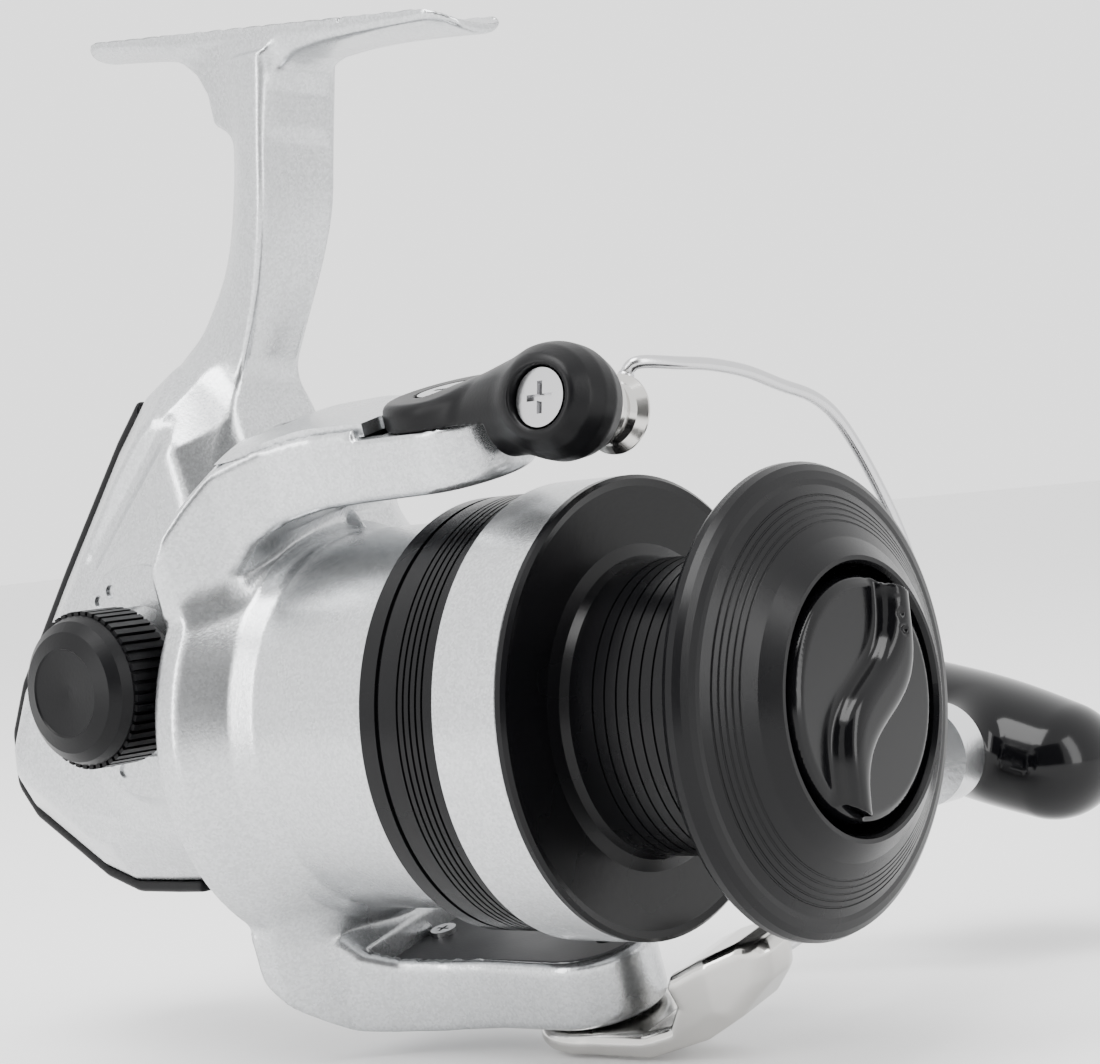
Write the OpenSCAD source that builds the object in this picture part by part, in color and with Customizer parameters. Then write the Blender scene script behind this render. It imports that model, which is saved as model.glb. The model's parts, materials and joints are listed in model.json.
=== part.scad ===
// Front-drag spinning reel: body, rotor, spool, bail, drag, gears and crank handle.
// The spool shaft lies along Y with the spool to -Y, the foot is up, the crank is on +X.
// Lengths are laid out from the spool's rear flange on the shaft axis, then moved
// so that the middle of the foot's seat face is the origin.

/* [Foot and stem] */
// Length of the foot
foot_len = 70; // [66:0.5:72]
// Width of the foot
foot_w = 13.8; // [12.5:0.1:14.5]
// Tilt of the foot against the spool shaft
foot_tilt = 6.9; // [5:0.1:8]
// Thickness of the foot's tips
foot_tip_t = 1.5; // [1.4:0.1:2.4]
// Radius of the hollow seat along the foot
seat_r = 9.4; // [9:0.1:11]

/* [Body] */
// Half width of the gearbox
case_hw = 14.5; // [14:0.1:15.5]
// Wall of the gearbox
case_wall = 2.0; // [1.6:0.1:2.2]
// Radius of the boss round the handle axle
boss_r = 15.7; // [14.5:0.1:16.2]

/* [Spool] */
// Radius of the rear flange
flange_r = 29.0; // [28.8:0.1:29.3]
// Radius of the front lip
lip_r = 28.5; // [27.5:0.1:28.6]
// Radius of the arbor
arbor_r = 18.4; // [17.5:0.1:19]
// Radius of the ribbed skirt
skirt_r = 28.0; // [27.9:0.1:28.2]
// Stroke of the spool, set by the pin circle of the oscillating gear
stroke = 15; // [12:0.5:15]

/* [Rotor] */
// Radius of the rotor's rear rim
rim_r = 31.2; // [30.5:0.1:32]
// Radius of the rotor's drum
drum_r = 25.4; // [25:0.1:25.6]
// Half width of the rotor arms at the tip
arm_hw = 9.0; // [8.6:0.1:9.4]
// Angle of the rotor about the shaft
rotor_turn = 13; // [0:1:20]

/* [Bail] */
// Diameter of the bail wire
wire_d = 1.7; // [1.4:0.1:1.8]
// Radius of the line roller
roller_r = 5.0; // [4.6:0.1:5.2]

/* [Handle] */
// Distance from the handle axle to the knob axle
arm_len = 73.2; // [68:0.2:75]
// Length of the knob's grip bar
knob_len = 40; // [34:0.5:42]
// Thickness of the knob's grip bar
knob_t = 17.4; // [15:0.2:18]

/* [Gears] */
// Teeth on the drive gear
drive_teeth = 39; // [39:1:39]
// Teeth on the pinion
pinion_teeth = 8; // [8:1:8]

/* [Hidden] */
$fn = 72;
part = 0.02;
foot_y = 52;
foot_z = 92.8;
pivot_y = 20.3;
ax_y = 69.9;
ax_z = 7.95;
osc_y = 88.7;
osc_z = -3.0;
crank_tilt = 17.7;
mesh_a = 90 + atan2(osc_z - ax_z, osc_y - ax_y);
rod_x = -3.2;
rod_z = -9.6;
shaft_r = 2.3;
bore_r = 2.37;
hub_r = 3.5;
kick_y = 45;
kick_pin_r = 0.98;
insert_screw_y = 45.2;
cover_screw_at = [[5.2, 32.2], [0, 49.4]];

// ---- helpers -------------------------------------------------------------

// Moves everything to the foot frame.
module base() translate([0, -foot_y, -foot_z]) children();

// Turns rotor parts about the shaft.
module turned() rotate([0, -rotor_turn, 0]) children();

// Solid of revolution about the Y axis from points [radius, y].
module yrev(pts) rotate([-90, 0, 0]) rotate_extrude() polygon(pts);

module ycyl(r, y0, y1, x = 0, z = 0) translate([x, y0, z]) rotate([-90, 0, 0])
    cylinder(r = r, h = y1 - y0);

module ytube(ro, ri, y0, y1, x = 0, z = 0) difference() {
    ycyl(ro, y0, y1, x, z);
    ycyl(ri, y0 - 1, y1 + 1, x, z);
}

module xcyl(r, x0, x1, y = ax_y, z = ax_z) translate([x0, y, z]) rotate([0, 90, 0])
    cylinder(r = r, h = x1 - x0);

module xtube(ro, ri, x0, x1, y = ax_y, z = ax_z) difference() {
    xcyl(ro, x0, x1, y, z);
    xcyl(ri, x0 - 1, x1 + 1, y, z);
}

module zcyl(r, z0, z1, x = 0, y = pivot_y) translate([x, y, z0]) cylinder(r = r, h = z1 - z0);

// Extrudes a [y, z] outline along X.
module side(x0, x1) translate([x0, 0, 0]) rotate([90, 0, 90]) linear_extrude(x1 - x0) children();

// Extrudes an [x, y] outline along Z.
module plan(z0, z1) translate([0, 0, z0]) linear_extrude(z1 - z0) children();

module soft(r) offset(r = r) offset(delta = -r) children();

// Places screws of a small cross-recess kind with the head up along +Z.
module screw(r, head_r, head_h, len) {
    difference() {
        cylinder(r = head_r, h = head_h, $fn = 36);
        for (a = [0, 90]) rotate(a) translate([-head_r * 0.55, -head_r * 0.11, head_h * 0.45])
            cube([head_r * 1.1, head_r * 0.22, head_h]);
    }
    translate([0, 0, -len]) cylinder(r = r, h = len + part, $fn = 36);
}

// Spur gear outline with straight-flanked teeth.
module gear2d(n, root_r, tip_r, root_deg, tip_deg) {
    circle(r = root_r, $fn = 72);
    for (i = [0 : n - 1]) rotate(i * 360 / n) polygon([
        [(root_r - 0.4) * cos(root_deg / 2), -(root_r - 0.4) * sin(root_deg / 2)],
        [tip_r * cos(tip_deg / 2), -tip_r * sin(tip_deg / 2)],
        [tip_r * cos(tip_deg / 2), tip_r * sin(tip_deg / 2)],
        [(root_r - 0.4) * cos(root_deg / 2), (root_r - 0.4) * sin(root_deg / 2)]]);
}

// ---- body ----------------------------------------------------------------

// Gearbox outline seen from the side, pulled in by d.
module case_2d(d = 0) offset(delta = -d) polygon([
    [57.9, -21], [57.9, 33], [60.6, 42], [66, 48.5], [72, 50], [78, 47], [84.5, 40],
    [98, 23], [110, 7], [113.2, 0], [113.2, -7], [110, -11], [96, -19.5], [90, -21.5],
    [82, -21.5]]);

// Rear part of the outline, carrying the bumper.
module bumper_2d() difference() {
    offset(delta = 1.7) case_2d();
    case_2d(-0.02);
    polygon([[40, -60], [40, 80], [76, 80], [80.5, 46], [79, 36], [78, -10], [74, -60]]);
}

// Slice of the stem at height z: flat front, sides that taper to a rounded back.
module stem_slice(z, y0, y1, hw) translate([0, 0, z]) linear_extrude(0.4)
    offset(r = 1.6, $fn = 32) offset(delta = -1.6) polygon([[-hw, y0], [hw, y0], [hw, y0 + 4],
        [0.45 * hw, y1], [-0.45 * hw, y1], [-hw, y0 + 4]]);

// Cross-section of the hollow seat: a flat strip with an arc up each side.
module seat_2d() {
    hull() for (s = [-1, 1]) translate([1.5 * s, seat_r]) circle(r = seat_r, $fn = 96);
}

module foot() translate([0, foot_y, foot_z]) rotate([foot_tilt, 0, 0]) difference() {
    intersection() {
        union() {
            // blade with a round underside
            translate([0, -foot_len / 2, 10.2 - foot_tip_t]) rotate([-90, 0, 0])
                cylinder(r = 10.2, h = foot_len, $fn = 96);
            // web that grows out of the stem
            side(-foot_w, foot_w) polygon([
                [32, 1.2], [32, 1.8], [-30, 1.8], [-30, 1.2], [-23, 0.2], [-12, -1.4], [-7, -2.4],
                [-4, -4.2], [-2.4, -7], [-2.2, -9.4], [9.5, -9.4], [10.2, -7], [12, -4.6],
                [15, -2.8], [19, -1.2], [25, 0.2]]);
        }
        translate([0, 0, -10]) linear_extrude(11.7) soft(4.5) polygon([
            [-foot_w / 2, -foot_len / 2], [foot_w / 2, -foot_len / 2],
            [foot_w / 2 - 0.9, foot_len / 2], [-foot_w / 2 + 0.9, foot_len / 2]]);
    }
    translate([0, foot_len, 0]) rotate([90, 0, 0]) linear_extrude(2 * foot_len) seat_2d();
}

module stem() {
    for (i = [0 : len(stem_at) - 2]) hull() {
        stem_slice(stem_at[i][0], stem_at[i][1], stem_at[i][2], stem_at[i][3]);
        stem_slice(stem_at[i + 1][0], stem_at[i + 1][1], stem_at[i + 1][2], stem_at[i + 1][3]);
    }
}

// Height, front, back and half width of the stem's slices.
stem_at = [[40, 64.4, 83.2, 6.6], [49, 60.3, 77.2, 5.6], [60, 55.3, 68.2, 6.2],
    [70, 51.9, 63.4, 7.3], [84, 50.0, 61.8, 7.5]];

// Hollow of the gearbox.
module case_hollow() {
    intersection() {
        hull() {
            side(-8.2, 8.2) case_2d(case_wall + 0.4);
            side(-case_hw + case_wall, case_hw - case_wall) case_2d(case_wall + 6.2);
        }
        translate([-40, 57, -60]) cube([80, 80, 120]);
    }
    ycyl(23, 52.2, 58);
    // passage behind the front disc and room for the drive gear
    intersection() {
        union() {
            ycyl(23, 57, 61.5);
            xcyl(17.9, -10.5, -4);
        }
        translate([-40, 52.6, -40]) cube([49, 60, 80]);
    }
}

module case_skin() {
    hull() {
        side(-7.5, 7.5) soft(2) case_2d();
        side(-case_hw, case_hw) soft(3) case_2d(7.5);
    }
}

module body() color([0.83, 0.84, 0.85]) base() difference() {
    union() {
        foot();
        stem();
        difference() {
            case_skin();
            translate([case_hw - 5, 30, -60]) cube([30, 120, 150]);
        }
        yrev([[0, 50], [24.6, 50], [25.2, 50.6], [25.2, 53.4], [27.6, 54.4], [27.6, 62],
            [25, 64.4], [0, 64.4]]);
        ycyl(13, 37.4, 50.2);
        xcyl(boss_r, -19.2, -8);
        xcyl(8.5, -19.2, -10.6);
    }
    difference() {
        case_hollow();
        cover_posts();
        xcyl(8.5, -20, -10.6);
        // bracket of the pinion bushing
        translate([-5.2, 62, -30]) cube([10.4, 2.6, 33.4]);
        // pad behind the guide rod's plate
        intersection() {
            translate([rod_x - 3, 104, -30]) cube([6, 20, 30.5]);
            side(-20, 20) case_2d(1);
        }
    }
    // pinion bearing seat, clutch seat and shaft passage
    ycyl(11.5, 30, 44.7);
    ycyl(9.0, 44, 50.4);
    ycyl(6.4, 49, 60);
    // near bearing seat and axle passage
    xcyl(6.5, -16.6, -8);
    xcyl(4.6, -30, -8);
    // bosses cut for the guide rod and the bumper screw
    ycyl(1.27, 50.8, 106, rod_x, rod_z);
    ycyl(4.82, 60, 66);
    tail_screw_at() cylinder(r = 1.02, h = 7, center = true, $fn = 36);
    ycyl(0.9, 100, 110, rod_x, rod_z + 4.2);
    // holes for the front plate's screws
    for (a = [45 : 90 : 315]) ycyl(0.9, 48, 54.2, 20 * cos(a), 20 * sin(a));
    // holes for the side cover's screws
    for (p = cover_holes) xcyl(1.0, 2, case_hw + 1, p[0], p[1]);
    // room for the boss ring, the handle cap and the side cover beside the front disc
    xcyl(boss_r + 0.1, -40, -19.2);
    translate([9.5, 58.8, -40]) cube([30, 10, 80]);
    // seat of the guide rod's plate
    translate([rod_x - 2.7, 100, -12.3]) cube([5.4, 3.92, 9]);
}

cover_holes = [[65, 37], [98.5, 11.5], [64, -14.5], [106, -4]];

// Posts inside the gearbox that take the cover screws.
module cover_posts() for (p = cover_holes) xcyl(2.4, -13.4, case_hw - 5, p[0], p[1]);

module side_cover() color([0.83, 0.84, 0.85]) base() difference() {
    union() {
        intersection() {
            case_skin();
            translate([case_hw - 4.98, 57.05, -60]) cube([30, 120, 150]);
        }
        xcyl(boss_r, 9.6, 20.6);
        xcyl(1.8, 4.7, 12.6, osc_y, osc_z);
    }
    difference() {
        intersection() {
            case_hollow();
            translate([case_hw - 5.2, 57, -60]) cube([30, 80, 120]);
        }
        for (p = cover_holes) xcyl(2.4, case_hw - 4.98, 20, p[0], p[1]);
        xcyl(8.5, 9.6, 20);
        xcyl(1.8, 4.7, 20, osc_y, osc_z);
        xcyl(3.2, 9.75, 20, osc_y, osc_z);
    }
    xcyl(6.5, 8, 16.6);
    xcyl(4.6, 8, 30);
    for (p = cover_holes) {
        xcyl(1.15, 2, 40, p[0], p[1]);
        xcyl(2.3, case_hw - 3.6, 40, p[0], p[1]);
    }
    // room for the front disc of the body
    ycyl(27.9, 40, 58.9);
}

module case_screws() color([0.55, 0.55, 0.56]) base() {
    for (p = cover_holes) translate([case_hw - 3.6, p[0], p[1]]) rotate([0, 90, 0])
        screw(0.98, 2.1, 1.1, 4);
    tail_screw_at() translate([0, 0, 0.55]) screw(0.98, 2.1, 1.1, 4);
}

module boss_ring() color([0.8, 0.81, 0.82]) base() difference() {
    xtube(boss_r, 10.2, -20.4, -19.2);
    for (k = [0 : 5]) for (d = [-6, 6])
        xcyl(0.95, -21, -20.0, ax_y + 13.4 * cos(60 * k + 62 + d), ax_z + 13.4 * sin(60 * k + 62 + d));
}

module rear_bumper() color([0.09, 0.09, 0.10]) base() difference() {
    side(-7.2, 7.2) bumper_2d();
    tail_screw_at() cylinder(r = 1.15, h = 20, center = true, $fn = 36);
    tail_screw_at() translate([0, 0, 0.5]) cylinder(r = 2.3, h = 3, $fn = 36);
}

module tail_screw_at() translate([0, 103.2, -15.1]) rotate([211.3, 0, 0]) children();

module front_plate() color([0.7, 0.71, 0.72]) base() difference() {
    ycyl(24.5, 48.8, 49.95);
    ycyl(13.1, 48, 51);
    for (a = [45 : 90 : 315]) ycyl(1.05, 48, 54, 20 * cos(a), 20 * sin(a));
}

module plate_screws() color([0.6, 0.6, 0.6]) base() {
    for (a = [45 : 90 : 315]) translate([20 * cos(a), 48.8, 20 * sin(a)]) rotate([90, 0, 0])
        screw(0.88, 1.9, 0.9, 4);
    translate([rod_x, 102.6, rod_z + 4.2]) rotate([90, 0, 0]) screw(0.88, 1.9, 0.9, 4);
}

module pinion_bearing() color([0.75, 0.76, 0.78]) base() {
    ytube(9.0, 7.4, 45.2, 50.0);
    ytube(6.2, 4.65, 45.2, 50.0);
    for (k = [0 : 8]) rotate([0, 40 * k, 0]) translate([6.8, 47.6, 0]) sphere(r = 1.1, $fn = 24);
    ytube(7.45, 6.15, 46.9, 48.3);
}

module pinion_bushing() color([0.72, 0.56, 0.32]) base() ytube(4.8, 3.56, 62.2, 64.4);

module clutch_ring() color([0.62, 0.63, 0.65]) base() ytube(11.4, 9.1, 38.2, 44.6);

module clutch_rollers() color([0.8, 0.81, 0.83]) base() for (k = [0 : 5]) rotate([0, 60 * k, 0])
    ycyl(1.2, 38.7, 44.1, 7.85, 0);

module clutch_cage() color([0.2, 0.2, 0.22]) base() difference() {
    ytube(9.05, 6.65, 38.3, 44.5);
    for (k = [0 : 5]) rotate([0, 60 * k, 0]) ycyl(1.32, 38.6, 44.2, 7.85, 0);
}

module gear_bearings() color([0.75, 0.76, 0.78]) base() for (x = [-16.5, 12.6]) gear_bearing(x);

module gear_bearing(x) {
    xtube(6.5, 5.6, x, x + 3.9);
    xtube(4.5, 3.56, x, x + 3.9);
    for (k = [0 : 7]) translate([x + 1.95, ax_y, ax_z]) rotate([45 * k, 0, 0])
        translate([0, 5.05, 0]) sphere(r = 0.8, $fn = 24);
    xtube(5.65, 4.45, x + 1.4, x + 2.5);
}

module guide_rod() color([0.78, 0.79, 0.8]) base() ycyl(1.25, 51, 105.8, rod_x, rod_z);

module rod_plate() color([0.6, 0.6, 0.62]) base() difference() {
    side(rod_x - 2.6, rod_x + 2.6) polygon([[102.6, -12.2], [103.9, -12.2], [103.9, -3.4], [102.6, -3.4]]);
    ycyl(1.27, 98, 108, rod_x, rod_z);
    ycyl(0.95, 98, 108, rod_x, rod_z + 4.2);
}

// ---- crank shaft ---------------------------------------------------------

module drive_gear() color([0.66, 0.63, 0.56]) base() difference() {
    union() {
        xcyl(17.4, -10.2, -7.0);
        xcyl(6.0, -11.4, -3.2);
        xcyl(5.2, -3.4, 3.4);
        xcyl(6.0, 3.2, 5.4);
        xcyl(hub_r, -16.6, 16.6);
        // small gear that drives the oscillating gear
        translate([5.35, ax_y, ax_z]) rotate([0, 90, 0]) linear_extrude(2.25) rotate(mesh_a)
            gear2d(14, 6.85, 9.1, 15.5, 6.0);
        // face teeth
        for (i = [0 : drive_teeth - 1]) translate([-7.1, ax_y, ax_z]) rotate([i * 360 / drive_teeth, 0, 0])
            translate([0, 12.8, 0]) rotate([90, 0, 90]) linear_extrude(1.6)
                polygon([[0, -0.42], [4.5, -0.6], [4.5, 0.6], [0, 0.42]]);
    }
    xcyl(2.6, -30, 30);
    for (k = [0 : 5]) translate([0, ax_y, ax_z]) rotate([60 * k, 0, 0]) xcyl(2.0, -12, -8.8, 9.6, 0);
}

// Screw cap with its threaded stud.
module handle_cap() color([0.10, 0.10, 0.11]) base() {
    translate([-20.8, ax_y, ax_z]) rotate([0, -90, 0]) rotate_extrude() polygon([
        [0, 0], [7.6, 0], [9.2, 1.6], [9.9, 3.2], [9.9, 10.6], [9.3, 12.0], [8.0, 13.1],
        [5.9, 13.75], [5.7, 13.55], [0, 13.0]]);
    translate([-31.2, ax_y, ax_z]) rotate([0, 90, 0]) linear_extrude(6.8)
        for (k = [0 : 47]) rotate(7.5 * k) translate([9.7, -0.42]) square([0.75, 0.84]);
    xcyl(3.6, -21, -16.8);
    xcyl(2.5, -16.9, -8);
}

module osc_gear() color([0.85, 0.85, 0.82]) base() difference() {
    union() {
        translate([5.0, osc_y, osc_z]) rotate([0, 90, 0]) linear_extrude(2.6) rotate(mesh_a + 180 + 7.5)
            gear2d(24, 12.2, 14.6, 9.4, 4.0);
        xcyl(3.2, 5.0, 9.6, osc_y, osc_z);
        xcyl(1.6, 3.95, 5.2, osc_y - stroke / 2, osc_z);
    }
    xcyl(1.87, 4, 12, osc_y, osc_z);
}

// ---- handle --------------------------------------------------------------

// Handle frame: the arm runs towards -Y, the folding pin lies along Z.
module crank() base() translate([0, ax_y, ax_z]) rotate([crank_tilt, 0, 0]) children();

module lcyl(r, x0, x1, y = 0, z = 0) translate([x0, y, z]) rotate([0, 90, 0])
    cylinder(r = r, h = x1 - x0);

module handle_hub() color([0.72, 0.73, 0.74]) crank() difference() {
    union() {
        lcyl(2.55, -7.6, 21.5);
        translate([21.0, 0, 0]) rotate([0, 90, 0]) rotate_extrude() polygon([
            [0, 0], [7.9, 0], [8.6, 0.7], [8.6, 2.4], [7.4, 3.4], [6.2, 5.4], [5.6, 6.6], [0, 6.6]]);
        translate([27, -4.5, -2.1]) cube([6, 9, 4.2]);
        translate([33, 0, -2.1]) cylinder(r = 4.6, h = 4.2);
    }
    translate([33, 0, -10]) cylinder(r = 1.52, h = 20);
}

module fold_pin() color([0.62, 0.63, 0.65]) crank() {
    translate([33, 0, -5.2]) cylinder(r = 1.5, h = 10.4);
    translate([33, 0, 5.0]) cylinder(r = 2.3, h = 0.8);
    translate([33, 0, -5.8]) cylinder(r = 2.3, h = 0.8);
}

arm_line = [[33.2, 0], [34.4, -6], [39.6, -14], [50, -37], [58.6, -58.5], [62.2, -65.5], [63.4, -74]];

module handle_arm() color([0.74, 0.75, 0.76]) crank() difference() {
    intersection() {
        translate([0, 0, -10]) linear_extrude(20) union() {
            offset(r = 2.5) polygon(concat(arm_line, [for (i = [len(arm_line) - 1 : -1 : 0])
                arm_line[i] + [0.15, 0]]));
            translate([33, 0]) circle(r = 4.9);
            translate([60.9, -arm_len - 8]) square([5.2, 15]);
        }
        translate([20, 0, 0]) rotate([90, 0, 90]) linear_extrude(60) union() {
            soft(1.2) polygon([[6, -5], [6, 5], [-12, 4.6], [-35, 4.0], [-62, 4.2], [-70, 5.6],
                [-70, -5.6], [-62, -4.2], [-35, -4.0], [-12, -4.6]]);
            translate([-arm_len, 0]) circle(r = 7.2);
        }
    }
    translate([27, -8, -2.2]) cube([11, 16, 4.4]);
    translate([33, 0, -10]) cylinder(r = 1.58, h = 20);
    lcyl(2.52, 50, 80, -arm_len, 0);
}

module knob_axle() color([0.7, 0.71, 0.73]) crank() {
    lcyl(2.5, 60.2, 89.6, -arm_len, 0);
    lcyl(4.0, 66.15, 67.2, -arm_len, 0);
    lcyl(3.7, 89.4, 90.4, -arm_len, 0);
}

module knob() color([0.07, 0.07, 0.08]) crank() difference() {
    union() {
        hull() for (s = [-1, 1]) translate([80.6, -arm_len + s * (knob_len - knob_t) / 2, 0])
            scale([1.28, 1, 1]) sphere(r = knob_t / 2, $fn = 40);
        lcyl(6.0, 67.6, 74, -arm_len, 0);
    }
    lcyl(2.57, 50, 95, -arm_len, 0);
    lcyl(4.3, 88.9, 95, -arm_len, 0);
}

module knob_cap() color([0.09, 0.09, 0.10]) crank() difference() {
    lcyl(4.25, 88.95, 91.4, -arm_len, 0);
    lcyl(3.75, 88, 90.7, -arm_len, 0);
}

// ---- rotor ---------------------------------------------------------------

module arm_plan(d = 0) offset(delta = -d) union() {
    translate([0, pivot_y]) circle(r = arm_hw);
    polygon([[-arm_hw, pivot_y], [arm_hw, pivot_y], [arm_hw, 31], [arm_hw + 0.8, 37],
        [arm_hw + 3, 43.5], [arm_hw + 7, 49.5], [arm_hw + 13.5, 54.5], [arm_hw + 15, 57.5],
        [-arm_hw - 15, 57.5], [-arm_hw - 13.5, 54.5], [-arm_hw - 7, 49.5], [-arm_hw - 3, 43.5],
        [-arm_hw - 0.8, 37], [-arm_hw, 31]]);
}

module arm_shape(tip_z) intersection() {
    side(-26, 26) polygon([
        [57.5, 24], [57.5, 35.6], [55.8, 38.6], [52, 40.9], [46, 41.6], [38, 41.5],
        [30, 41.1], [29.5, tip_z], [5, tip_z], [5, 31.8], [38, 31.2], [43.5, 30.4], [47.3, 28.4],
        [49.4, 25.5], [49.8, 24]]);
    plan(20, 50) arm_plan();
    yrev([[0, 0], [42.2, 0], [42.4, 40], [42, 50], [39.6, 54.6], [36.9, 57.5], [0, 57.5]]);
}

module pocket_plan(d) intersection() {
    arm_plan(d);
    translate([-20, 24 + d]) square([40, 27.5 - d]);
}

module rotor() color([0.82, 0.83, 0.84]) base() turned() difference() {
    union() {
        yrev([[0, 22.5], [drum_r - 0.4, 22.5], [drum_r, 22.9], [drum_r, 45], [26.6, 48.4],
            [28.8, 51], [rim_r - 0.6, 53.2], [rim_r, 54], [rim_r, 57.1], [rim_r - 0.5, 57.5],
            [0, 57.5]]);
        arm_shape(39.6);
        mirror([0, 0, 1]) arm_shape(41.1);
    }
    // inside of the drum and of the rear bell
    yrev([[0, 0], [drum_r - 2.0, 0], [drum_r - 2.0, 33], [0, 33]]);
    yrev([[0, 37], [drum_r - 2.0, 37], [drum_r - 2.0, 46.2], [26.0, 49.6], [26.0, 53.0],
        [28.4, 54.2], [28.8, 60], [0, 60]]);
    ycyl(4.62, 20, 60);
    // spring pocket of the upper arm and recess of its cover
    difference() {
        plan(34, 50) pocket_plan(2.6);
        zcyl(4.2, 30, 50);
        for (p = cover_screw_at) zcyl(1.9, 30, 39.8, p[0], p[1]);
        zcyl(kick_pin_r, 30, 39.4, 0, kick_y);
    }
    plan(39.8, 50) pocket_plan(1.3);
    // recess of the insert and weight pocket of the lower arm
    mirror([0, 0, 1]) {
        plan(26, 32.9) insert_plan(1.4);
        difference() {
            plan(32, 38.6) offset(delta = -3.4) pocket_plan(0);
            zcyl(2.0, 30, 40, 0, insert_screw_y);
        }
    }
    // pivot holes
    zcyl(2.02, 33.4, 50);
    zcyl(2.02, -60, -34.2);
    // holes of the cover and insert screws
    for (p = cover_screw_at) zcyl(0.9, 35, 50, p[0], p[1]);
    zcyl(0.9, -38, -28, 0, insert_screw_y);
    // hole of the lock plate's screw
    ycyl(0.9, 30, 40, 8.8, 0);
}

module insert_plan(d) intersection() {
    arm_plan(d);
    translate([-20, 10]) square([40, 38.6]);
}

module pinion() color([0.74, 0.60, 0.35]) base() turned() difference() {
    union() {
        ycyl(4.0, 27.2, 33.2);
        ycyl(4.6, 33.0, 52.4);
        ycyl(3.5, 52, 64.6);
        translate([0, 52.6, 0]) rotate([-90, 0, 0]) linear_extrude(8.8, twist = 28, slices = 8)
            gear2d(pinion_teeth, 3.9, 5.2, 26, 11);
    }
    ycyl(bore_r, 20, 70);
}

module clutch_sleeve() color([0.7, 0.71, 0.73]) base() turned() ytube(6.3, 4.62, 37.2, 44.7);

module rotor_nut() color([0.72, 0.6, 0.36]) base() turned() difference() {
    translate([0, 27.5, 0]) rotate([-90, 0, 0]) cylinder(r = 7.0, h = 5.45, $fn = 6);
    ycyl(4.05, 20, 40);
}

module nut_lock() color([0.66, 0.67, 0.69]) base() turned() difference() {
    ycyl(11.6, 31.7, 32.9);
    translate([0, 30, 0]) rotate([-90, 0, 0]) cylinder(r = 7.1, h = 6, $fn = 6);
    ycyl(1.0, 30, 40, 8.8, 0);
}

// Screws of the arm cover, of the insert and of the nut lock.
module rotor_screws() color([0.6, 0.6, 0.62]) base() turned() {
    for (p = cover_screw_at) translate([p[0], p[1], 40.7]) screw(0.88, 1.8, 0.8, 4.5);
    translate([0, insert_screw_y, -31.48]) screw(0.88, 1.8, 0.8, 4.5);
    translate([8.8, 31.68, 0]) rotate([90, 0, 0]) screw(0.88, 1.8, 0.8, 4.5);
}

module arm_cover() color([0.80, 0.81, 0.82]) base() turned() difference() {
    intersection() {
        plan(39.85, 50) pocket_plan(1.42);
        side(-26, 26) polygon([[20, 30], [60, 30], [60, 36], [55.8, 38.9], [52, 41.2], [46, 42.0],
            [38, 41.9], [28, 41.5], [20, 41.4]]);
        yrev([[0, 0], [42.6, 0], [42.8, 40], [42.3, 50], [40, 54.6], [37.2, 57.5], [0, 57.5]]);
    }
    for (p = cover_screw_at) {
        zcyl(1.0, 30, 50, p[0], p[1]);
        zcyl(1.9, 40.68, 50, p[0], p[1]);
    }
    zcyl(9.3, 39, 50);
    // room for the bail arm when it is open
    translate([-20, 20, 39]) cube([16.2, 9.1, 10]);
}

module arm_insert() color([0.25, 0.25, 0.27]) base() turned() difference() {
    intersection() {
        mirror([0, 0, 1]) plan(31.5, 32.85) insert_plan(1.5);
        translate([-30, 0, -60]) cube([60, 47.6, 60]);
    }
    zcyl(1.5, -40, -28, 0, pivot_y - 3.5);
    zcyl(1.0, -40, -28, 0, insert_screw_y);
}

module balance_weight() color([0.5, 0.5, 0.5]) base() turned() mirror([0, 0, 1])
    plan(33.2, 38.4) intersection() {
        offset(delta = -3.6) pocket_plan(0);
        translate([-12, 29]) square([24, 12.5]);
    }

module bail_spring() color([0.6, 0.61, 0.63]) base() turned() for (k = [0 : 2])
    translate([-1.5, 34.5, 34.9 + 1.25 * k]) rotate_extrude($fn = 48) translate([3.0, 0]) circle(r = 0.45, $fn = 16);

module kick_lever() color([0.6, 0.61, 0.63]) base() turned() difference() {
    union() {
        zcyl(2.3, 35.0, 38.6, 0, kick_y);
        translate([-1.1, 38.5, 35.6]) cube([2.2, 6.5, 2.4]);
    }
    zcyl(1.05, 30, 45, 0, kick_y);
}

// ---- bail ----------------------------------------------------------------

// Roller frame: its X axis is the roller's axis, leaning down to +X.
module at_roller() translate([2.2, -1.6, 37.4]) rotate([0, 23, 0]) children();

module bail_arm() color([0.13, 0.13, 0.14]) base() turned() difference() {
    union() {
        zcyl(8.7, 39.75, 43.0);
        hull() {
            translate([-0.5, 16.5, 39.75]) cylinder(r = 7.2, h = 3.6, $fn = 40);
            at_roller() translate([-7.6, 3.2, 0.6]) rotate([0, 90, 0]) cylinder(r = 3.6, h = 4.2, $fn = 40);
        }
        at_roller() translate([-12.4, 0, 0]) rotate([0, 90, 0]) rotate_extrude() polygon([
            [0, 0], [4.6, 0], [5.6, 0.7], [6.3, 2.0], [6.7, 4.2], [6.7, 6.2], [6.1, 8.4],
            [5.2, 9.4], [0, 9.4]]);
    }
    zcyl(2.07, 30, 50);
    zcyl(4.3, 41.6, 50);
    at_roller() {
        lcyl(3.9, -20, -10.9);
        lcyl(1.55, -20, 5);
        lcyl(5.6, -3.0, 4);
    }
    // room for the arm's tip
    translate([-30, 8, 30]) cube([60, 30, 9.72]);
}

module bail_pivot_top() color([0.72, 0.73, 0.75]) base() turned() translate([0, pivot_y, 41.7])
    screw(2.0, 3.9, 1.5, 8.2);

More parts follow.
